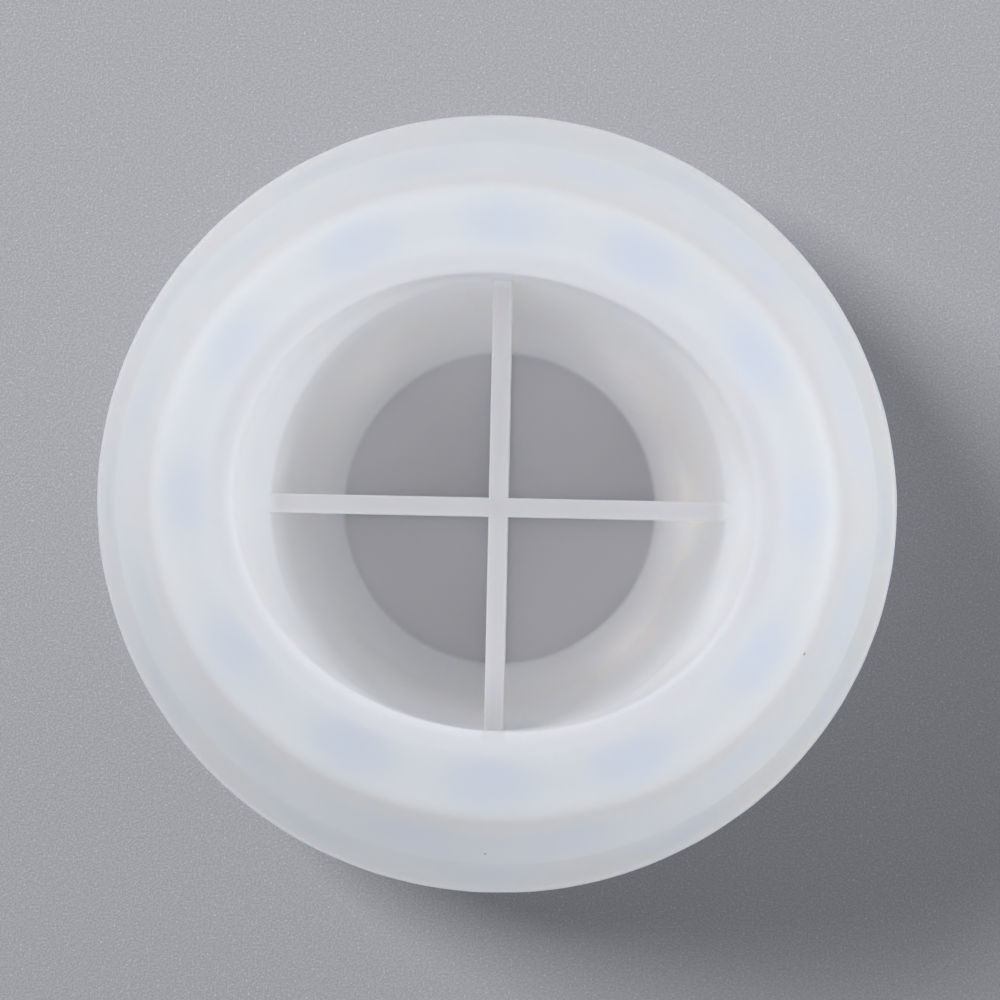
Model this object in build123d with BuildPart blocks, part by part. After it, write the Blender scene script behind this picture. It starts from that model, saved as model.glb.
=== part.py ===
"""Resin casting mould: one soft moulding of white silicone, lying mouth down with its underside up.

The mould casts a small faceted pot. Its outer wall rises in three bands from the mouth to the
floor; a hollow core stands in the middle and is stiffened by a cross of ribs. The moulding has no
loose pieces, so it is divided where its shape changes, and every region is a named solid that is
bonded face to face with its neighbours.

Frame: millimetres, +Z up, the mouth rests on Z = 0, the middle of the mould is on the Z axis and
the two ribs run along X and Y.
"""
import os
from math import cos, radians, sin

from build123d import *

os.makedirs("parts", exist_ok=True)

# ---- Driving sizes, mm ----------------------------------------------------------------------
WIDTH = 100.0          # mean width over the girdle, where the two halves of the tool met
HEIGHT = 56.0          # mouth plane to the top of the floor
WALL = 2.4             # thinnest silicone, over the points of the cast's facets
CORE_WALL = 2.6        # the cup that the cast is formed round
CAP = 1.4              # thickness of the disc that closes the core
RIB = 2.3              # thickness of the stiffening ribs
FLASH = 0.35           # how far the trimmed parting line stands out
FLASH_HEIGHT = 0.6
FACETS = 12            # points in each row of facets
SQUEEZE = 2.4          # the lip's long radius less its mean radius: soft silicone pulled oval
SQUEEZE_ANGLE = -7.5   # long axis of the oval, degrees from X

# Outer wall
RIM_Z = 4.0            # top of the plain band round the mouth
GIRDLE_Z = 18.0
CREASE_Z = 35.0
MOUTH_INSET = 2.75     # how far the mouth stands in from the girdle
CREASE_INSET = 4.25    # how far the fine crease stands in from the girdle
FLOOR_WIDTH = 7.7      # the sloping floor, from the shoulder in to the core
FLOOR_FALL = 3.4       # how far the floor falls from the lip to the shoulder
SHOULDER_DEPTH = 2.2   # below the shoulder, the part of the wall that belongs to the floor
SHOULDER_ROUND = 1.2

# Hollow core
LIP_R = 28.7           # the hollow at its lip
RIB_END_R = 27.3       # the hollow at the rib tops, where it is round again
KNEE_R = 24.3          # where the hollow starts to curve in to the cap
CAP_R = 20.1
KNEE_Z = 20.2
CAP_Z = 8.0            # upper face of the cap
RIB_SET_DOWN = 10.0    # from the lip down to the rib tops
LIP_ROUND = 0.65 * CORE_WALL

# Cast space: heights of the facet points
FACET_ROW_1 = 12.3
FACET_ROW_2 = 26.3
FACET_ROW_3_DOWN = 13.4    # measured down from the lip
TIP_DOWN = 3.7             # points of the cast's rim, down from the lip
NOTCH = 2.5                # how much lower the rim is between its points

# ---- Levels and radii that follow from them --------------------------------------------------
SHOULDER_Z = HEIGHT - FLOOR_FALL
SHOULDER_SPLIT_Z = SHOULDER_Z - SHOULDER_DEPTH
RIB_TOP_Z = HEIGHT - RIB_SET_DOWN

GIRDLE_R = WIDTH / 2
MOUTH_R = GIRDLE_R - MOUTH_INSET
CREASE_R = GIRDLE_R - CREASE_INSET
SHOULDER_R = LIP_R + CORE_WALL + FLOOR_WIDTH

# Outer wall from mouth to lip: height, mean radius, how much of the squeeze reaches that height.
OUTLINE = [
    (0.0, MOUTH_R, 0.19 * SQUEEZE),
    (GIRDLE_Z, GIRDLE_R, 0.31 * SQUEEZE),
    (CREASE_Z, CREASE_R, 0.54 * SQUEEZE),
    (SHOULDER_Z, SHOULDER_R, 0.79 * SQUEEZE),
    (HEIGHT, LIP_R + CORE_WALL, SQUEEZE),
]
# Hollow, from where it is round at the rib tops up to the lip.
HOLLOW = [(RIB_TOP_Z, RIB_END_R, 0.0), (HEIGHT, LIP_R, SQUEEZE)]
CORE = [(z, radius + CORE_WALL, squeeze) for z, radius, squeeze in HOLLOW]


def section(outline, z):
    """(height, mean radius, squeeze) at z, straight between the levels of an outline."""
    for (z_lo, r_lo, s_lo), (z_hi, r_hi, s_hi) in zip(outline, outline[1:]):
        share = (z - z_lo) / (z_hi - z_lo)
        if share <= 1:
            return z, r_lo + (r_hi - r_lo) * share, s_lo + (s_hi - s_lo) * share


def stack(sections):
    """A solid through oval sections, straight from one to the next."""
    with BuildPart() as stacked:
        for z, radius, squeeze in sections:
            with BuildSketch(Plane.XY.offset(z)):
                Ellipse(radius + squeeze, radius - squeeze, rotation=SQUEEZE_ANGLE)
        loft(ruled=True)
    return stacked.part


def between(outline, z_lo, z_hi):
    """The solid inside an outline from z_lo to z_hi, with the outline's own levels in between."""
    inner_levels = [level for level in outline if z_lo < level[0] < z_hi]
    return stack([section(outline, z_lo), *inner_levels, section(outline, z_hi)])


# ---- Cast space: the faceted pot, as the solid that is taken out of the wall -----------------
def row(z, inset, phase):
    """One row of facet points, `inset` inside the outer wall at height z."""
    _, radius, squeeze = section(OUTLINE, z)
    points = []
    for number in range(FACETS):
        angle = 360 / FACETS * (number + phase)
        reach = radius - inset + squeeze * cos(radians(2 * (angle - SQUEEZE_ANGLE)))
        points.append((reach * cos(radians(angle)), reach * sin(radians(angle)), z))
    return points


def facet(*corners):
    return Face(Wire.make_polygon(corners))


def facet_band(low, high, high_leads):
    """Triangles between two rows whose points are staggered by half a pitch."""
    band = []
    for i in range(FACETS):
        after = (i + 1) % FACETS
        if high_leads:      # high[i] stands between low[i] and low[after]
            band += [facet(low[i], low[after], high[i]), facet(high[i], low[after], high[after])]
        else:               # low[i] stands between high[i] and high[after]
            band += [facet(low[i], high[after], high[i]), facet(low[i], low[after], high[after])]
    return band


tip_z = HEIGHT - TIP_DOWN
tip_inset = 0.75 * FLOOR_WIDTH
mouth_row = [(x, y, -1.0) for x, y, _ in row(0, 1.15 * WALL, 0)]
row_1 = row(FACET_ROW_1, 1.1 * WALL, 0.5)
row_2 = row(FACET_ROW_2, WALL, 0)
row_3 = row(HEIGHT - FACET_ROW_3_DOWN, WALL, 0.5)
tips = row(tip_z, tip_inset, 0)
valleys = [(x, y, z - NOTCH) for x, y, z in row(tip_z, 1.1 * tip_inset, 0.5)]
middle = [(0.5 * x, 0.5 * y, z) for x, y, z in valleys]

facets = facet_band(mouth_row, row_1, True)
facets += facet_band(row_1, row_2, False)
facets += facet_band(row_2, row_3, True)
for i in range(FACETS):
    after = (i + 1) % FACETS
    facets += [
        facet(row_3[i], row_3[after], tips[after]),
        facet(row_3[i], valleys[i], tips[i]),
        facet(row_3[i], tips[after], valleys[i]),
        facet(tips[i], valleys[i], middle[i]),
        facet(valleys[i], tips[after], middle[i]),
        facet(tips[after], middle[after], middle[i]),
    ]
facets += [facet(*mouth_row), facet(*middle)]

with BuildPart() as cast_space:
    add(Solid(Shell(facets)))      # flat facets at any angle: sewn, there is no sketch for them


def wall_band(z_lo, z_hi):
    """A band of the outer wall: the outline less the cast space and less the core."""
    with BuildPart() as band:
        add(between(OUTLINE, z_lo, z_hi))
        add(cast_space.part, mode=Mode.SUBTRACT)
    return band.part


# ---- Mouth rim: the plain edge the mould rests on, where the resin is poured -----------------
with BuildPart() as mouth_rim:
    add(wall_band(0, RIM_Z))

# ---- Lower wall: widens from the rim to the girdle -------------------------------------------
with BuildPart() as lower_wall:
    add(wall_band(RIM_Z, GIRDLE_Z - FLASH_HEIGHT / 2))

# ---- Parting bead: the trimmed flash all round the girdle ------------------------------------
with BuildPart() as parting_bead:
    girdle_z, bead_r, bead_squeeze = section(OUTLINE, GIRDLE_Z)
    for_bead = (bead_r + FLASH, bead_squeeze)
    add(stack([(girdle_z - FLASH_HEIGHT / 2, *for_bead), (girdle_z + FLASH_HEIGHT / 2, *for_bead)]))
    add(cast_space.part, mode=Mode.SUBTRACT)

# ---- Middle wall: girdle to the fine crease --------------------------------------------------
with BuildPart() as middle_wall:
    add(wall_band(GIRDLE_Z + FLASH_HEIGHT / 2, CREASE_Z))

# ---- Upper wall: crease to just under the shoulder, closing in over the cast's pointed rim ---
with BuildPart() as upper_wall:
    add(wall_band(CREASE_Z, SHOULDER_SPLIT_Z))
    add(between(CORE, RIB_TOP_Z, SHOULDER_SPLIT_Z), mode=Mode.SUBTRACT)

# ---- Floor band: the sloping top of the mould, with a softened shoulder ----------------------
with BuildPart() as floor_band:
    add(wall_band(SHOULDER_SPLIT_Z, HEIGHT))
    add(between(CORE, SHOULDER_SPLIT_Z, HEIGHT), mode=Mode.SUBTRACT)
    shoulder = floor_band.edges().filter_by_position(Axis.Z, SHOULDER_Z - 0.01, SHOULDER_Z + 0.01)
    fillet(shoulder, SHOULDER_ROUND)

# ---- Hollow lip: the rounded edge where the floor turns down into the hollow core ------------
with BuildPart() as hollow_lip:
    add(between(CORE, SHOULDER_SPLIT_Z, HEIGHT))
    add(between(HOLLOW, SHOULDER_SPLIT_Z, HEIGHT), mode=Mode.SUBTRACT)
    fillet(hollow_lip.edges().group_by(Axis.Z)[-1].sort_by(SortBy.LENGTH)[0], LIP_ROUND)

# ---- Core neck: carries the pulled oval of the lip down to the round core at the rib tops ----
with BuildPart() as core_neck:
    add(between(CORE, RIB_TOP_Z, SHOULDER_SPLIT_Z))
    add(between(HOLLOW, RIB_TOP_Z, SHOULDER_SPLIT_Z), mode=Mode.SUBTRACT)

# ---- Core wall: the round tapering cup that forms the inside of the cast pot -----------------
taper = (KNEE_R - RIB_END_R, KNEE_Z - RIB_TOP_Z)
with BuildPart() as core_wall:
    with BuildSketch(Plane.XZ):
        with BuildLine():
            inside = Line((RIB_END_R, RIB_TOP_Z), (KNEE_R, KNEE_Z))
            bowl = TangentArc((KNEE_R, KNEE_Z), (CAP_R, CAP_Z), tangent=taper)
            foot = Line((CAP_R, CAP_Z), (CAP_R, CAP_Z - CAP))
            Line(foot @ 1, (CAP_R + CORE_WALL / 2, CAP_Z - CAP))
            TangentArc(
                (KNEE_R + CORE_WALL, KNEE_Z), (CAP_R + CORE_WALL / 2, CAP_Z - CAP), tangent=taper
            )
            Line((KNEE_R + CORE_WALL, KNEE_Z), (RIB_END_R + CORE_WALL, RIB_TOP_Z))
            Line((RIB_END_R + CORE_WALL, RIB_TOP_Z), inside @ 0)
        make_face()
    revolve(axis=Axis.Z)

# ---- Core cap: the thin disc that forms the pot's floor --------------------------------------
with BuildPart() as core_cap:
    with BuildSketch(Plane.XY.offset(CAP_Z - CAP)):
        Circle(CAP_R)
    extrude(amount=CAP)

# ---- Hollow below the rib tops, as a solid: it trims the ribs to the wall --------------------
with BuildPart() as hollow:
    with BuildSketch(Plane.XZ):
        with BuildLine():
            Line((0, RIB_TOP_Z), (RIB_END_R, RIB_TOP_Z))
            Line((RIB_END_R, RIB_TOP_Z), (KNEE_R, KNEE_Z))
            TangentArc((KNEE_R, KNEE_Z), (CAP_R, CAP_Z), tangent=taper)
            Line((CAP_R, CAP_Z), (0, CAP_Z))
            Line((0, CAP_Z), (0, RIB_TOP_Z))
        make_face()
    revolve(axis=Axis.Z)


def rib(length, width, middle_of_rib):
    """A web standing in the hollow from the cap to the rib tops, trimmed to the core wall."""
    with BuildPart() as web:
        with BuildSketch(Plane.XY.offset(CAP_Z)):
            with Locations(middle_of_rib):
                Rectangle(length, width)
        extrude(amount=RIB_TOP_Z - CAP_Z)
        add(hollow.part, mode=Mode.INTERSECT)
    return web.part


# ---- Cross of ribs: one right across the hollow, the other in two halves that butt against it --
with BuildPart() as rib_across:
    add(rib(WIDTH, RIB, (0, 0)))

half = WIDTH / 2
with BuildPart() as rib_back:
    add(rib(RIB, half, (0, RIB / 2 + half / 2)))

with BuildPart() as rib_front:
    add(rib(RIB, half, (0, -RIB / 2 - half / 2)))

# ---- Names and export ------------------------------------------------------------------------
pieces = {
    "mouth_rim": mouth_rim,
    "lower_wall": lower_wall,
    "parting_bead": parting_bead,
    "middle_wall": middle_wall,
    "upper_wall": upper_wall,
    "floor_band": floor_band,
    "hollow_lip": hollow_lip,
    "core_neck": core_neck,
    "core_wall": core_wall,
    "core_cap": core_cap,
    "rib_across": rib_across,
    "rib_back": rib_back,
    "rib_front": rib_front,
}
for name, piece in pieces.items():
    piece.part.label = name
    export_step(piece.part, f"parts/{name}.step")
    print(name, round(piece.part.volume), "mm3")
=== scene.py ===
# %% [markdown]
# # A soft silicone casting mould
# The mould lies mouth down on a table and we look at its underside: a round banded wall, a sloping
# top, and a hollow core with a cross of ribs. The real thing is one piece of milky white silicone,
# poured in a two-part tool. It could be drawn freehand, but then it would drift away from the CAD
# model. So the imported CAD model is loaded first, and the sizes below are read from the boxes of its
# parts. The few sizes that no box shows are named again here, with the same value.

# %% Load the frame and keep the CAD box
import math

import bmesh
import bpy
from mathutils import Matrix, Vector, noise
from mathutils.bvhtree import BVHTree


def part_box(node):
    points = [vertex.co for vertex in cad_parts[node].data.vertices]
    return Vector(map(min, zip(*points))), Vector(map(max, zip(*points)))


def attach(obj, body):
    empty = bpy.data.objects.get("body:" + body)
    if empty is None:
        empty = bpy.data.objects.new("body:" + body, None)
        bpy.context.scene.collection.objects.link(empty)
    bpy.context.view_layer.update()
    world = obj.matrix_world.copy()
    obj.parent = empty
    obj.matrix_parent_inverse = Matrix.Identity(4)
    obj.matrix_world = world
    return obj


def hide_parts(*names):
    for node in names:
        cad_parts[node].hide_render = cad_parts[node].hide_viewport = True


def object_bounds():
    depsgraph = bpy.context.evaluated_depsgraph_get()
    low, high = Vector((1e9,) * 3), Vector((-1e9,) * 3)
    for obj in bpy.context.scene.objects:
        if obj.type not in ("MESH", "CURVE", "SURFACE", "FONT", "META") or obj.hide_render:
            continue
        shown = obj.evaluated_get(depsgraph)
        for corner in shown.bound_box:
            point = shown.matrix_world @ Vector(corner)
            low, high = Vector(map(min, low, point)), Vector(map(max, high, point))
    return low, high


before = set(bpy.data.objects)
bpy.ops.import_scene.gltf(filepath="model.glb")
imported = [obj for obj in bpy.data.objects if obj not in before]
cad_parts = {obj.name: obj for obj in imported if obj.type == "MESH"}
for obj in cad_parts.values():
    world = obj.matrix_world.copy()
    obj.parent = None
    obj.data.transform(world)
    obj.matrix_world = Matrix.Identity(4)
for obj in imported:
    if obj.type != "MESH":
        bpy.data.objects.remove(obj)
cad_lo, cad_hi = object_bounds()
print("CAD size in mm:", [round((b - a) * 1000, 1) for a, b in zip(cad_lo, cad_hi)])

# %% [markdown]
# ## Sizes of the wall
# The wall isn't quite round. Soft silicone keeps a squeeze from its packing, so each level is an
# oval with a mean radius and a "pull": how much longer the long radius is than the mean. The whole
# mould could be squeezed at the end instead, but the core inside stays round, so each level keeps a
# pull of its own. The boxes of the CAD parts give both numbers, because the oval's long axis leans a
# known few degrees from X.

# %% Read radii, pulls and heights of the wall
MM = 0.001
LEAN = math.radians(-7.5)          # long axis of the oval


def oval_of(node):
    """(mean radius, pull) of the widest level of a CAD part, in metres."""
    lo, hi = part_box(node)
    half_x, half_y = (hi[0] - lo[0]) / 2, (hi[1] - lo[1]) / 2
    return (half_x + half_y) / 2, (half_x - half_y) / 2 / math.cos(2 * LEAN)


TOP = cad_hi[2]
bead_r, girdle_pull = oval_of("parting_bead")
bead_lo, bead_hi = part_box("parting_bead")
girdle_z = (bead_lo[2] + bead_hi[2]) / 2
girdle_r = oval_of("middle_wall")[0]
crease_r, crease_pull = oval_of("upper_wall")
crease_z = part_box("upper_wall")[0][2]
rim_r, rim_pull = oval_of("mouth_rim")
rim_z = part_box("mouth_rim")[1][2]
mouth_r = rim_r - (girdle_r - rim_r) * rim_z / (girdle_z - rim_z)    # the lean runs on to the table
print("girdle", round(girdle_r / MM, 2), "crease", round(crease_r / MM, 2), "mouth",
      round(mouth_r / MM, 2), "mm")

# %% [markdown]
# ## Sizes of the floor and the hollow
# The mould lies upside down, so its floor is on top: a shallow cone that rises from the shoulder to
# the lip. Inside the lip the hollow goes down past the rib tops to a knee, and a short bowl leads on
# to the flat cap. The core hangs a little off the middle, as soft silicone does. That offset could be
# built into every size, but kept apart as SAG it is added once, where the points are made.

# %% Read the floor, the lip, the ribs and the cap
floor_fall = 3.4 * MM              # how far the floor falls from the lip to the shoulder
knee_r, knee_z = 24.3 * MM, 20.2 * MM
SAG = Vector((0.35, -0.56)) * MM   # how far the core hangs off the middle
lip_outer_r, lip_pull = oval_of("hollow_lip")
split_r = oval_of("floor_band")[0]
split_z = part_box("floor_band")[0][2]
slope = (crease_r - split_r) / (split_z - crease_z)
shoulder_z = TOP - floor_fall
shoulder_r = split_r - slope * (shoulder_z - split_z)
shoulder_pull = 0.79 * lip_pull
round_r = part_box("rib_across")[1][0]                      # the hollow at the rib tops
rib_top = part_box("rib_across")[1][2]
rib_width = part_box("rib_across")[1][1] * 2
core_wall_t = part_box("core_wall")[1][0] - round_r
lip_r = lip_outer_r - core_wall_t
cap_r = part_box("core_cap")[1][0]
cap_low, cap_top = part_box("core_cap")[0][2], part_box("core_cap")[1][2]
print("shoulder", round(shoulder_r / MM, 2), "lip", round(lip_r / MM, 2), "cap",
      round(cap_r / MM, 2), "mm")

# %% [markdown]
# ## Camera
# A product view from straight above. A wide lens close by would open up the walls like a funnel. A
# long lens half a metre away keeps them nearly edge on, and a small offset shows a little more of one
# inner wall than of the other.

# %% Camera above the mould
cam_data = bpy.data.cameras.new("camera")
cam_data.sensor_width = 36.0
cam_data.lens = 136.0
camera = bpy.data.objects.new("camera", cam_data)
bpy.context.scene.collection.objects.link(camera)
camera.location = (0.00335, -0.00226, 0.500)
aim = Vector((0.00028, 0.00059, 0.0))
look = (aim - camera.location).normalized()
roll = math.radians(-1.2)
up = Vector((math.sin(roll), math.cos(roll), 0.0))
right = look.cross(up).normalized()
true_up = right.cross(look)
camera.rotation_mode = "QUATERNION"
camera.rotation_quaternion = Matrix((right, true_up, -look)).transposed().to_quaternion()
bpy.context.scene.camera = camera
print("camera", round(camera.location.z * 1000), "mm above the table")

# %% [markdown]
# ## Profiles
# Most of the mould is turned on a lathe, so it starts as a profile: a chain of corners, each with a
# radius, a height and a pull. Real moulded edges are never sharp. A bevel on the finished mesh would
# round them all alike, so each corner is softened in the chain instead: it is swapped for a short
# curve that leaves one side and joins the next.

# %% Helpers for profiles
def curve(start, bend, end, runs):
    """Points on a smooth curve from start to end that leans towards bend."""
    steps = [k / runs for k in range(runs + 1)]
    return [start * (1 - t) ** 2 + bend * 2 * t * (1 - t) + end * t * t for t in steps]


def soften(corners):
    """Corners (radius, height, pull, softness) in metres to a smooth chain of (radius, height, pull)."""
    chain = []
    for i, (r, z, pull, soft) in enumerate(corners):
        here = Vector((r, z, pull))
        if soft <= 0 or i in (0, len(corners) - 1):
            chain.append(here)
            continue
        before, after = Vector(corners[i - 1][:3]), Vector(corners[i + 1][:3])
        start = here + (before - here).normalized() * soft
        end = here + (after - here).normalized() * soft
        chain += curve(start, here, end, 6)
    return chain


def divide(chain, longest):
    """The same chain with no run longer than this."""
    fine = [chain[0]]
    for a, b in zip(chain, chain[1:]):
        runs = max(1, math.ceil((b - a).length / longest))
        fine += [a.lerp(b, k / runs) for k in range(1, runs + 1)]
    return fine


right_angle = [(0, 0, 0, 0), (1, 0, 0, 0.2), (1, 1, 0, 0)]
print("a chain of three corners, the middle one softened:", len(soften(right_angle)), "points")

# %% [markdown]
# ## Turning an oval
# Blender's Screw modifier turns a profile too, but only into circles. Here each ring is an oval of
# its own, so the rings are laid point by point and joined with faces. The knife that trimmed the
# thin flash at the girdle wandered, and a slow noise does the same.

# %% Helpers for turned shapes
STEPS = 288                        # points in a ring
flash_begins = 0.1 * MM            # past the girdle
flash_waver, flash_waves = 0.05 * MM, 14
sag_ends = 0.7 * MM                # rings with this much pull belong to the outer wall


def oval_point(r, z, pull, angle):
    """A point of a turned shape. Only the outside is pulled oval. The round core inside it sags a
    little to the front right, so the lip and the ribs don't share one centre."""
    if r < 1e-6:
        return Vector((0, 0, z))
    reach = r + pull * math.cos(2 * (angle - LEAN))
    if r > girdle_r + flash_begins:
        round_trip = Vector((flash_waves * math.cos(angle), flash_waves * math.sin(angle), 0.3))
        reach += flash_waver * noise.noise(round_trip)
    sag = (1 - min(1.0, pull / sag_ends)) * SAG
    return Vector((reach * math.cos(angle) + sag.x, reach * math.sin(angle) + sag.y, z))


def object_from(name, bm):
    """Turns a bmesh into an object in the scene."""
    bmesh.ops.recalc_face_normals(bm, faces=bm.faces)
    mesh = bpy.data.meshes.new(name)
    bm.to_mesh(mesh)
    bm.free()
    obj = bpy.data.objects.new(name, mesh)
    bpy.context.scene.collection.objects.link(obj)
    return obj


def turn(name, chain):
    """A closed turned object. The chain starts and ends on the axis."""
    bm = bmesh.new()
    rings = []
    for r, z, pull in chain:
        if r < 1e-6:
            rings.append([bm.verts.new((0, 0, z))])
        else:
            rings.append([bm.verts.new(oval_point(r, z, pull, 2 * math.pi * k / STEPS))
                          for k in range(STEPS)])
    for low, high in zip(rings, rings[1:]):
        for k in range(STEPS):
            n = (k + 1) % STEPS
            if len(low) == 1:
                bm.faces.new((low[0], high[n], high[k]))
            elif len(high) == 1:
                bm.faces.new((low[k], low[n], high[0]))
            else:
                bm.faces.new((low[k], low[n], high[n], high[k]))
    return object_from(name, bm)


longest_reach = oval_point(girdle_r, girdle_z, girdle_pull, LEAN).xy.length
print("the girdle reaches", round(longest_reach / MM, 2), "mm along its long axis")

# %% [markdown]
# ## The blank
# The outside, the lip, the hollow and the top of the cap are one chain, from the middle of the mouth
# round to the middle of the cap. It is turned into a solid blank with no cavity yet, because a solid
# is easy to cut and a thin shell isn't. The girdle carries a thin bead where the tool halves met.

# %% Turn the blank
bulge = 0.8 * MM                   # of the bowl between the knee and the cap


def bowl_curve(r0, z0, r1, z1):
    """Corners of the bowl from (r0, z0) to (r1, z1), bulging outwards."""
    start, end = Vector((r0, z0)), Vector((r1, z1))
    along = end - start
    out = Vector((-along[1], along[0])).normalized()
    if out[0] < 0:
        out = -out
    return [(p[0], p[1], 0.0, 0) for p in curve(start, (start + end) / 2 + out * bulge * 2, end, 14)]


half_foot, half_edge = 0.3 * MM, 0.12 * MM      # half the bead's height at the wall and at its edge
trimmed = 0.05 * MM                # what the knife took off the bead
tuck = 0.02 * MM                   # keeps neighbouring corners of the chain apart
outside = [
    (0.0, 0.0, 0.0, 0),
    (mouth_r, 0.0, rim_pull, 0.35 * MM),
    (girdle_r - tuck, girdle_z - half_foot, girdle_pull, 0.05 * MM),
    (bead_r - trimmed, girdle_z - half_edge, girdle_pull, 0.06 * MM),
    (bead_r - trimmed, girdle_z + half_edge, girdle_pull, 0.06 * MM),
    (girdle_r - tuck, girdle_z + half_foot, girdle_pull, 0.05 * MM),
    (crease_r, crease_z, crease_pull, 0.8 * MM),
    (shoulder_r, shoulder_z, shoulder_pull, 2.0 * MM),
    (lip_outer_r, TOP - tuck, lip_pull, 0.7 * MM),
    (lip_r, TOP, lip_pull, 1.1 * MM),
    (round_r, rib_top, 0.0, 0.8 * MM),
]
inside = bowl_curve(knee_r, knee_z, cap_r, cap_top) + [(0.0, cap_top, 0.0, 0)]
moulding = turn("moulding", divide(soften(outside + inside), 1.6 * MM))
print("blank:", len(moulding.data.polygons), "faces")

# %% [markdown]
# ## Where the cast's points lie
# The cavity is the shape of the pot it casts: rows of points staggered by half a step, joined by
# flat triangles, with a pointed rim. Its points come close to the outside, and there the silicone is
# thin. The rows are those of the CAD model, so the wall is as thick here as it is there.

# %% Rows of points under the outer wall
FACETS = 12
wall = 2.4 * MM                    # silicone left over the points of the widest rows
row_1_z, row_2_z, row_3_z = 12.3 * MM, 26.3 * MM, TOP - 13.4 * MM
tip_z, notch = TOP - 3.7 * MM, 2.5 * MM         # the pot's pointed rim, and the dips between tips
tip_inset = 0.75 * (shoulder_r - lip_outer_r)
past_mouth = 1.0 * MM              # the pot runs on below the table, so that the mouth is cut open
levels = [(0.0, mouth_r, rim_pull), (girdle_z, girdle_r, girdle_pull),
          (crease_z, crease_r, crease_pull), (shoulder_z, shoulder_r, shoulder_pull),
          (TOP, lip_outer_r, lip_pull)]


def outside_at(z):
    """Mean radius and pull of the outer wall at a height."""
    for (z0, r0, p0), (z1, r1, p1) in zip(levels, levels[1:]):
        if z <= z1:
            t = (z - z0) / (z1 - z0)
            return r0 + (r1 - r0) * t, p0 + (p1 - p0) * t


def row_of_points(z, inset, phase):
    """Points all round at one height, an inset in from the outside. Phase 0.5 is half a step on."""
    r, pull = outside_at(z)
    angles = [2 * math.pi / FACETS * (k + phase) for k in range(FACETS)]
    return [oval_point(r - inset, z, pull, a) for a in angles]


rows = [
    [p - Vector((0, 0, past_mouth)) for p in row_of_points(0.0, 1.15 * wall, 0)],
    row_of_points(row_1_z, 1.1 * wall, 0.5),
    row_of_points(row_2_z, wall, 0),
    row_of_points(row_3_z, wall, 0.5),
    row_of_points(tip_z, tip_inset, 0),
]
dips = [p - Vector((0, 0, notch)) for p in row_of_points(tip_z, 1.1 * tip_inset, 0.5)]
print("points of the pot:", sum(len(row) for row in rows + [dips]))

# %% [markdown]
# ## The cast
# The rows are joined into a closed pot. Below, each pair of rows makes a band of triangles. At the
# top the triangles run up to the tips and down into the dips, and a flat fan closes the shape.

# %% The faceted pot
bm = bmesh.new()
grid = [[bm.verts.new(p) for p in row] for row in rows]
low_rim = [bm.verts.new(p) for p in dips]
middle = [bm.verts.new((0.5 * p.x, 0.5 * p.y, p.z)) for p in dips]
for number, (low, high) in enumerate(zip(grid[:3], grid[1:4])):
    for k in range(FACETS):
        n = (k + 1) % FACETS
        if number % 2 == 0:
            bm.faces.new((low[k], low[n], high[k]))
            bm.faces.new((high[k], low[n], high[n]))
        else:
            bm.faces.new((low[k], high[n], high[k]))
            bm.faces.new((low[k], low[n], high[n]))
last, tips = grid[3], grid[4]
for k in range(FACETS):
    n = (k + 1) % FACETS
    for corners in ((last[k], last[n], tips[n]), (last[k], low_rim[k], tips[k]),
                    (last[k], tips[n], low_rim[k]), (tips[k], low_rim[k], middle[k]),
                    (low_rim[k], tips[n], middle[k]), (tips[n], middle[n], middle[k])):
        bm.faces.new(corners)
bm.faces.new(grid[0])
bm.faces.new(middle)
pot = object_from("pot", bm)
print("pot facets:", len(pot.data.polygons))

# %% [markdown]
# ## The core
# The cup in the middle of the mould keeps resin out, so it forms the inside of the pot. Here it is a
# solid, one core wall bigger than the hollow, that will be cut out of the pot. It runs on above the
# lip, because two faces that only just touch make a poor cut.

# %% Turn the core
above_lip = TOP + 4 * MM
core_corners = [(0.0, above_lip, 0.0, 0), (lip_outer_r, above_lip, lip_pull, 0),
                (lip_outer_r, TOP, lip_pull, 0), (round_r + core_wall_t, rib_top, 0.0, 0)]
core_corners += bowl_curve(knee_r + core_wall_t, knee_z, cap_r + core_wall_t / 2, cap_low)
core_corners += [(0.0, cap_low, 0.0, 0)]
core = turn("core", divide(soften(core_corners), 2.5 * MM))
print("core:", len(core.data.polygons), "faces")

# %% [markdown]
# ## The cross of ribs
# Two upright webs stand in the hollow and stiffen the core. Two boxes would overlap in the middle, so
# they are drawn as one plus-shaped plan and pulled up. The ends run on into the core's wall and the
# foot into the cap, so that all of it becomes one piece.

# %% The ribs
rib_grip = 0.6 * MM                # how far the ends run into the core's wall
rib_foot = 0.5 * MM                # how far the foot sinks into the cap
rib_round = 0.22 * MM              # softness of the top edges
w, h = rib_width / 2, round_r + rib_grip
plan = [(w, w), (w, h), (-w, h), (-w, w), (-h, w), (-h, -w), (-w, -w), (-w, -h), (w, -h),
        (w, -w), (h, -w), (h, w)]
bm = bmesh.new()
foot = bm.faces.new([bm.verts.new((x + SAG.x, y + SAG.y, cap_top - rib_foot)) for x, y in plan])
for raised in bmesh.ops.extrude_face_region(bm, geom=[foot])["geom"]:
    if isinstance(raised, bmesh.types.BMVert):
        raised.co.z = rib_top
bmesh.ops.recalc_face_normals(bm, faces=bm.faces)
top_edges = [e for e in bm.edges if all(v.co.z > rib_top - 1e-6 for v in e.verts)]
bmesh.ops.bevel(bm, geom=top_edges, offset=rib_round, segments=3, affect="EDGES", profile=0.5)
cross = object_from("cross", bm)
print("ribs:", round((rib_top - cap_top) / MM, 1), "mm high")

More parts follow.
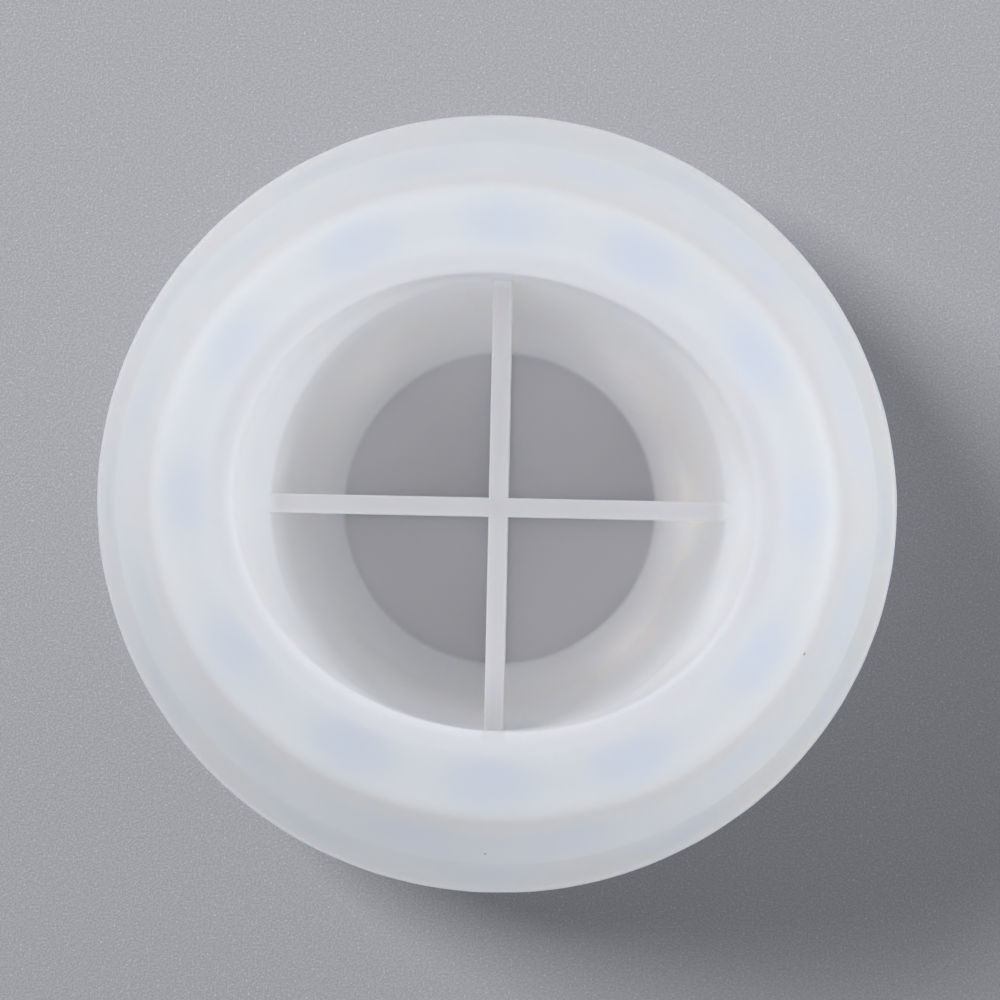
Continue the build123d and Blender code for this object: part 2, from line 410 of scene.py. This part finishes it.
# %% [markdown]
# ## Taking the cast out
# A mould is what is left when the cast is taken away, so booleans say it best: the pot loses its
# inside to the core, the blank loses the pot, and the ribs join the core. The result is a single
# closed skin. That matters here, because light that wanders through the silicone has to meet a
# surface only where the real one has a surface.

# %% Booleans
facet_tree = BVHTree.FromPolygons([v.co for v in pot.data.vertices],
                                  [p.vertices[:] for p in pot.data.polygons])


def combine(target, other, operation):
    """Applies a boolean to target, then removes the other object."""
    mod = target.modifiers.new("cut", "BOOLEAN")
    mod.operation, mod.object, mod.solver = operation, other, "EXACT"
    graph = bpy.context.evaluated_depsgraph_get()
    mesh = bpy.data.meshes.new_from_object(target.evaluated_get(graph))
    target.modifiers.clear()
    target.data = mesh
    bpy.data.objects.remove(other)


combine(pot, core, "DIFFERENCE")
combine(moulding, pot, "DIFFERENCE")
combine(moulding, cross, "UNION")
check = bmesh.new()
check.from_mesh(moulding.data)
print("moulding:", len(check.faces), "faces, open edges:", sum(not e.is_manifold for e in check.edges),
      "volume cm3:", round(abs(check.calc_volume()) * 1e6, 1))
check.free()

# %% [markdown]
# ## Soft shading, crisp edges
# The turned faces are meant as curves, and the facets and rib sides as flats. Smooth shading with
# sharp edges above a small angle keeps both right without another mesh.

# %% Smooth the turned faces
sharp_above = math.radians(24)
for p in moulding.data.polygons:
    p.use_smooth = True
moulding.data.set_sharp_from_angle(angle=sharp_above)
print("edges kept sharp:", sum(e.use_edge_sharp for e in moulding.data.edges))

# %% [markdown]
# ## How thick is the wall?
# Where a point of the cast comes near the outside, the wall shows a soft cool spot. The spots could
# be painted by hand, but the wall itself knows where it is thin. So every point of the skin stores
# its distance to the faceted cavity, and the material reads that. A second value says how far a
# point lies inside the core's outer oval, which tells the lip and the hollow from the floor.

# %% Store both values on the mesh
light_spread = 2.7 * MM            # how far light spreads sideways in the wall
no_spot = 9.0                      # in mm, a wall too thick to show anything


def inside_lip(co):
    """How far in mm a point lies inside the core's outer oval. Below zero it is outside the core."""
    angle = math.atan2(co.y, co.x)
    return (lip_outer_r + lip_pull * math.cos(2 * (angle - LEAN)) - co.xy.length) / MM


def wall_near(co):
    """Wall thickness in mm, averaged over a patch as wide as light spreads."""
    if inside_lip(co) > 0.5 and co.z > rim_z:
        return no_spot
    around = [co + Vector((math.cos(k), math.sin(k), 0)) * light_spread for k in range(6)] + [co]
    return sum(facet_tree.find_nearest(p)[3] for p in around) / len(around) / MM


thick = moulding.data.attributes.new("thickness_mm", "FLOAT", "POINT")
from_lip = moulding.data.attributes.new("inside_lip_mm", "FLOAT", "POINT")
for v in moulding.data.vertices:
    thick.data[v.index].value = wall_near(v.co)
    from_lip.data[v.index].value = inside_lip(v.co)
outer = [thick.data[v.index].value for v in moulding.data.vertices
         if v.co.xy.length > 1.02 * lip_outer_r and v.co.z > girdle_z]
print("stored from", round(min(outer), 2), "to", round(max(outer), 2), "mm")

# %% [markdown]
# ## Silicone
# White silicone has next to no colour of its own: light goes in, wanders a few millimetres and comes
# out. A plain white paint would look like plaster. Subsurface scattering does what silicone does, so
# the shadows in the hollow stay soft. Red wanders furthest and gets lost in thin spots, which is why
# they look cool, as skim milk does.

# %% Light inside the silicone
def new_material(name):
    """(material, its tree, its main shader)"""
    made = bpy.data.materials.new(name)
    made.use_nodes = True
    return made, made.node_tree, made.node_tree.nodes["Principled BSDF"]


wander = 2.5 * MM
silicone, tree, skin = new_material("milky_silicone")
skin.inputs["Roughness"].default_value = 0.42
skin.inputs["IOR"].default_value = 1.41
skin.inputs["Subsurface Weight"].default_value = 1.0
skin.inputs["Subsurface Radius"].default_value = (1.0, 0.9, 0.8)
skin.inputs["Subsurface Scale"].default_value = wander
print("light wanders", round(wander / MM, 1), "mm in", silicone.name)

# %% [markdown]
# ## Small helpers for masks
# A material is a tree of nodes, and wiring each node by hand soon fills the page. Three moves come
# back all the time: a node with its settings, a soft step between two values, and a sum of two
# values. As functions they keep the recipes below short.

# %% Helpers for nodes, steps and sums
def node(tree, kind, **values):
    """A node with its settings, and its inputs by name."""
    made = tree.nodes.new(kind)
    for key, value in values.items():
        if hasattr(made, key):
            setattr(made, key, value)
        else:
            made.inputs[key].default_value = value
    return made


def ramp(tree, value, low, high):
    """0 at low, 1 at high, with a soft step between. Low may be the bigger of the two."""
    made = tree.nodes.new("ShaderNodeMapRange")
    made.interpolation_type = "SMOOTHSTEP"
    made.inputs["From Min"].default_value = low
    made.inputs["From Max"].default_value = high
    tree.links.new(value, made.inputs["Value"])
    return made.outputs["Result"]


def sums(tree, operation, a, b=0.0):
    """A sum with one or two values, each a number or a socket."""
    made = tree.nodes.new("ShaderNodeMath")
    made.operation = operation
    for socket, value in zip(made.inputs, (a, b)):
        if isinstance(value, (int, float)):
            socket.default_value = value
        else:
            tree.links.new(value, socket)
    return made.outputs[0]


def both(tree, a, b):
    """1 only where both masks are 1."""
    return sums(tree, "MULTIPLY", a, b)


print("helpers:", [f.__name__ for f in (node, ramp, sums, both)])

# %% [markdown]
# ## Where on the mould?
# The skin is one mesh with one material, so the material has to know where it is. Splitting the mesh
# would put seams where the light passes through. Instead, masks tell the places apart, by height and
# by the values stored on the mesh. Each mask is 0 or 1 with a soft step between.

# %% Masks for the top, the foot, the lip and the hollow
coords = node(tree, "ShaderNodeTexCoord").outputs["Object"]
split = node(tree, "ShaderNodeSeparateXYZ")
tree.links.new(coords, split.inputs[0])
height = split.outputs["Z"]
lip_mm = node(tree, "ShaderNodeAttribute", attribute_name="inside_lip_mm").outputs["Fac"]
lip_band, hollow_band = (-1.6, 0.9), (2.2, 3.5)         # mm inside the core's outer oval
on_top = ramp(tree, height, shoulder_z - 1.5 * MM, shoulder_z + 0.5 * MM)
# The wall is painted darker towards the table below the girdle, as painted shade.
on_foot = ramp(tree, height, girdle_z, 0.4 * girdle_z)
# The lip ring is painted darker, as painted shade where it rolls into the hollow.
near_lip = ramp(tree, lip_mm, *lip_band)
# The hollow's wall is painted lighter and more neutral, as a painted glow from light through the core.
in_hollow = both(tree, ramp(tree, lip_mm, *hollow_band), ramp(tree, height, TOP, 0.93 * TOP))
print("the top begins at", round((shoulder_z - 1.5 * MM) / MM, 1), "mm")

# %% [markdown]
# ## The cap and the rib tops
# Both lie in the hollow and are painted darker than its wall, as painted shade: the cap at the
# bottom of the deep hollow, with little silicone over the shaded table, and the rib tops, which are
# too thin to glow. Distance from the middle alone would catch the wall beside them. So height limits
# both, and nearness to one of the two axes limits the rib tops.

# %% Masks for the cap and the rib tops
x, y = (sums(tree, "SUBTRACT", split.outputs[axis], SAG[axis]) for axis in (0, 1))
squares = sums(tree, "ADD", sums(tree, "MULTIPLY", x, x), sums(tree, "MULTIPLY", y, y))
distance = sums(tree, "SQRT", squares)
near_axes = sums(tree, "MINIMUM", sums(tree, "ABSOLUTE", x), sums(tree, "ABSOLUTE", y))
# The cap is painted darker, as painted shade at the bottom of the hollow.
on_cap = both(tree, ramp(tree, distance, 1.025 * cap_r, 0.985 * cap_r),
              ramp(tree, height, cap_top + 2.5 * MM, cap_top + 0.4 * MM))
# The rib tops are painted darker, as painted shade.
rib_tops = both(tree, ramp(tree, height, rib_top - 0.8 * MM, rib_top - 0.3 * MM),
                ramp(tree, near_axes, 0.7 * rib_width, 0.5 * rib_width))
on_rib_tops = both(tree, ramp(tree, distance, 1.03 * round_r, 0.95 * round_r), rib_tops)
print("nodes so far:", len(tree.nodes))

# %% [markdown]
# ## Thin spots
# The stored thickness puts the spots where the wall is thin. A slow noise is added to it first,
# because no two spots on a poured mould are quite the same size. The floor and the wall have limits
# of their own: the floor's spots are broad and clear, and the wall's are small and faint.

# %% Masks for the thin spots
cloud_size, cloud_depth = 55.0, 1.2             # waves per metre, and mm of silicone
floor_limits, wall_limits = (6.0, 2.6), (4.6, 2.3)      # mm where a spot begins and is full
wall_strength = 0.75
wall_mm = node(tree, "ShaderNodeAttribute", attribute_name="thickness_mm").outputs["Fac"]
cloud = node(tree, "ShaderNodeTexNoise", Scale=cloud_size, Detail=2.0)
tree.links.new(coords, cloud.inputs["Vector"])
cloud_mm = sums(tree, "MULTIPLY", sums(tree, "SUBTRACT", cloud.outputs["Fac"], 0.5), cloud_depth)
uneven = sums(tree, "ADD", wall_mm, cloud_mm)
floor_spots = both(tree, ramp(tree, uneven, *floor_limits), on_top)
off_top = sums(tree, "SUBTRACT", 1.0, on_top)
wall_spots = both(tree, ramp(tree, uneven, *wall_limits), both(tree, wall_strength, off_top))
spots = sums(tree, "ADD", floor_spots, wall_spots)
print("spots begin at", floor_limits[0], "mm in the floor and", wall_limits[0], "mm in the wall")

# %% [markdown]
# ## Whites
# Everything here is white, yet no two places are the same white. The floor is a little darker and
# cooler than the wall, and the thin spots are cool. Past them the layers are painted light and shade:
# the foot is painted darker as shade near the table, the lip darker as shade where it rolls into the
# hollow, the hollow's wall lighter as a painted glow through the core, and the cap and the rib tops
# darker as painted shade. The layers go from the general to the special. The cap is the darkest, as
# painted shade of the deep hollow over the shaded table.

# %% Blend the whites
def tint(tree, amount, under, over):
    """Blends two colours, each a tuple or a socket."""
    made = tree.nodes.new("ShaderNodeMix")
    made.data_type = "RGBA"
    tree.links.new(amount, made.inputs["Factor"])
    for socket, value in ((made.inputs[6], under), (made.inputs[7], over)):
        if isinstance(value, tuple):
            socket.default_value = (*value, 1)
        else:
            tree.links.new(value, socket)
    return made.outputs[2]


# The foot, lip, cap and rib-top colours are painted shade; the hollow's colour is a painted glow.
WALL_WHITE, FLOOR_WHITE = (0.945, 0.961, 0.996), (0.917, 0.936, 0.990)
THIN_SPOT, FOOT_PAINTED_SHADE = (0.800, 0.842, 0.935), (0.86, 0.876, 0.912)
LIP_PAINTED_SHADE, HOLLOW_PAINTED_GLOW = (0.872, 0.872, 0.890), (0.990, 0.985, 0.977)
CAP_PAINTED_SHADE, RIB_TOP_PAINTED_SHADE = (0.73, 0.728, 0.752), (0.785, 0.777, 0.79)
colour = tint(tree, on_top, WALL_WHITE, FLOOR_WHITE)
layers = [(spots, THIN_SPOT), (on_foot, FOOT_PAINTED_SHADE), (near_lip, LIP_PAINTED_SHADE),
          (in_hollow, HOLLOW_PAINTED_GLOW), (on_cap, CAP_PAINTED_SHADE), (on_rib_tops, RIB_TOP_PAINTED_SHADE)]
for mask, white in layers:
    colour = tint(tree, mask, colour, white)
print("layers over the first white:", len(layers))

# %% [markdown]
# ## Dust and tooth
# Silicone draws dust, and a blasted tool leaves it a fine tooth that keeps it satin. Modelled specks
# would be far too many faces, so the cells of a Voronoi pattern do it: a few cells are picked, and
# the middle of each becomes a dark speck. A fine noise makes the tooth as a shallow bump.

# %% Specks and tooth, and the material onto the moulding
speck_size, picked = 0.07, 0.93                 # share of a cell, and only cells above this value
DUST = (0.16, 0.13, 0.11)
dust = node(tree, "ShaderNodeTexVoronoi", Scale=350.0)
tree.links.new(coords, dust.inputs["Vector"])
speck = both(tree, sums(tree, "LESS_THAN", dust.outputs["Distance"], speck_size),
             sums(tree, "GREATER_THAN", dust.outputs["Color"], picked))
colour = tint(tree, speck, colour, DUST)
tree.links.new(colour, skin.inputs["Base Color"])
tooth = node(tree, "ShaderNodeTexNoise", Scale=2600.0, Detail=3.0)
tree.links.new(coords, tooth.inputs["Vector"])
bump = node(tree, "ShaderNodeBump", Strength=0.12, Distance=0.08 * MM)
tree.links.new(tooth.outputs["Fac"], bump.inputs["Height"])
tree.links.new(bump.outputs["Normal"], skin.inputs["Normal"])
moulding.data.materials.clear()
moulding.data.materials.append(silicone)
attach(moulding, "root")
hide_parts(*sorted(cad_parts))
print("material:", silicone.name, "with", len(tree.nodes), "nodes")

# %% [markdown]
# ## Table
# The mould lies on a wide flat sheet. One face is enough, because its grain is far finer than
# anything worth modelling.

# %% Table top
half_side = 1.5
table_mesh = bpy.data.meshes.new("table")
corners = [(-half_side, -half_side, 0), (half_side, -half_side, 0), (half_side, half_side, 0),
           (-half_side, half_side, 0)]
table_mesh.from_pydata(corners, [], [(0, 1, 2, 3)])
table = bpy.data.objects.new("table", table_mesh)
bpy.context.scene.collection.objects.link(table)
print("table:", 2 * half_side, "m square")

# %% [markdown]
# ## Pebbled grey
# The sheet is grey with a fine pebbled grain that catches the light. From this far a bump alone would
# hardly show, so the grain varies the colour a little too, partly the sheet's own tone and partly
# painted light and shade of the pebbles, and a second noise paints light flecks as painted glints.

# %% Material of the sheet
# The fleck colour is a painted glint, and the two greys are partly painted light and shade of the
# pebbles.
DARK_GREY, LIGHT_GREY, PAINTED_GLINT = (0.284, 0.284, 0.300), (0.338, 0.338, 0.358), (0.43, 0.43, 0.45)
grey, tree, sheet = new_material("pebbled_grey_sheet")
sheet.inputs["Roughness"].default_value = 0.5
coords = node(tree, "ShaderNodeTexCoord").outputs["Object"]
grain = node(tree, "ShaderNodeTexNoise", Scale=3600.0, Detail=1.0)
tree.links.new(coords, grain.inputs["Vector"])
glint_noise = node(tree, "ShaderNodeTexNoise", Scale=3400.0, Detail=0.0)
tree.links.new(coords, glint_noise.inputs["Vector"])
colour = tint(tree, ramp(tree, grain.outputs["Fac"], 0.36, 0.66), DARK_GREY, LIGHT_GREY)
colour = tint(tree, ramp(tree, glint_noise.outputs["Fac"], 0.69, 0.82), colour, PAINTED_GLINT)
tree.links.new(colour, sheet.inputs["Base Color"])
bump = node(tree, "ShaderNodeBump", Strength=0.35, Distance=0.15 * MM)
tree.links.new(grain.outputs["Fac"], bump.inputs["Height"])
tree.links.new(bump.outputs["Normal"], sheet.inputs["Normal"])
table_mesh.materials.append(grey)
print("material:", grey.name, "with", len(tree.nodes), "nodes")

# %% [markdown]
# ## Light on the table
# A softbox stands high at the back left, and the mould's soft shadow falls to the front right. A
# small window close by lifts the far side of the table. One set of lamps could light everything, but
# light that wanders through thick silicone is slow to trace and stays noisy. So the table and the
# mould get lamps of their own, by light linking. These two light only the table.

# %% Softbox and window
def softbox(name, azimuth, elevation, distance, size, power, target=(0, 0, 0.03)):
    """An area light that looks at the mould. Azimuth runs anticlockwise from +X."""
    data = bpy.data.lights.new(name, "AREA")
    data.shape, data.size, data.size_y = "RECTANGLE", size[0], size[1]
    data.energy = power
    lamp = bpy.data.objects.new(name, data)
    bpy.context.scene.collection.objects.link(lamp)
    a, e = math.radians(azimuth), math.radians(elevation)
    lamp.location = Vector(target) + distance * Vector(
        (math.cos(a) * math.cos(e), math.sin(a) * math.cos(e), math.sin(e)))
    lamp.rotation_mode = "QUATERNION"
    lamp.rotation_quaternion = (Vector(target) - lamp.location).to_track_quat("-Z", "Y")
    return lamp


only_mould = bpy.data.collections.new("only the mould")
only_mould.objects.link(moulding)
only_table = bpy.data.collections.new("only the table")
only_table.objects.link(table)
key = softbox("key", 148, 42, 2.2, (0.85, 0.75), 49.0)
window = softbox("window", 60, 40, 0.36, (0.3, 0.2), 0.46, target=(0, 0.05, 0))
for lamp in (key, window):
    lamp.light_linking.receiver_collection = only_table
window.light_linking.blocker_collection = only_table
print("lamps for the table:", key.name, window.name)

# %% [markdown]
# ## Light on the silicone
# Silicone glows evenly all round, because light reaches it from every side and comes through. One
# strong lamp would leave half of it in shadow. Six weak, cool softboxes do it better: low ones for
# the wall and high ones for the floor and the hollow.

# %% Softboxes that light only the mould
COOL = (0.92, 0.945, 1.0)          # what comes through and off the silicone is a cool white
lamp_distance, lamp_height = 1.0, 0.45
mould_lamps = (("key in the silicone", 145, 42, 0.6, 1.05), ("low right", 8, 13, 1.0, 4.2),
               ("low back left", 135, 13, 1.1, 3.7), ("low front left", 250, 13, 0.9, 1.4),
               ("high right", 5, 62, 0.8, 1.5), ("high front left", 240, 60, 0.7, 1.6))
for name, azimuth, elevation, width, power in mould_lamps:
    glow = softbox(name, azimuth, elevation, lamp_distance, (width, lamp_height), power)
    glow.data.color = COOL
    glow.light_linking.receiver_collection = only_mould
print("lamps for the mould:", len(mould_lamps))

# %% [markdown]
# ## Glow in the cavity
# Light also gets into the closed space under the floor, where the cast would be, and shines through
# the core from behind. Four faint bulbs in that space stand for it, stronger on the right, where the
# hollow is brighter.

# %% Faint bulbs where the cast would be
bulb_reach, bulb_z, bulb_size = 1.26 * round_r, 0.32 * TOP, 6 * MM
bulbs = (("glow right", 0, 0.0098), ("glow back right", 45, 0.0050),
         ("glow back left", 135, 0.0042), ("glow front right", 315, 0.0062))
for name, azimuth, power in bulbs:
    data = bpy.data.lights.new(name, "POINT")
    data.energy, data.shadow_soft_size, data.color = power, bulb_size, COOL
    glow = bpy.data.objects.new(name, data)
    bpy.context.scene.collection.objects.link(glow)
    angle = math.radians(azimuth)
    glow.location = (bulb_reach * math.cos(angle), bulb_reach * math.sin(angle), bulb_z)
    glow.light_linking.receiver_collection = only_mould
print("bulbs:", len(bulbs), "at", round(bulb_z / MM, 1), "mm")

# %% [markdown]
# ## The room
# Pale walls send a little light back from everywhere, which keeps the shadow on the table open. An
# even world colour is enough for that. The Standard view shows the greys and whites as they are.

# %% Room light and view
ROOM_WHITE, room_strength = (0.93, 0.95, 1.0), 0.33
world = bpy.data.worlds.new("room")
bpy.context.scene.world = world
world.use_nodes = True
background = world.node_tree.nodes["Background"]
background.inputs["Color"].default_value = (*ROOM_WHITE, 1)
background.inputs["Strength"].default_value = room_strength
bpy.context.scene.view_settings.view_transform = "Standard"

# %% [markdown]
# ## Light paths
# Light crosses many skins on its way through a hollow translucent thing, so it needs more bounces
# than a solid scene does. With the usual four, the hollow would go dark.

# %% More bounces
bpy.context.scene.cycles.max_bounces = 24
bpy.context.scene.cycles.diffuse_bounces = 16
print("bounces:", bpy.context.scene.cycles.diffuse_bounces)
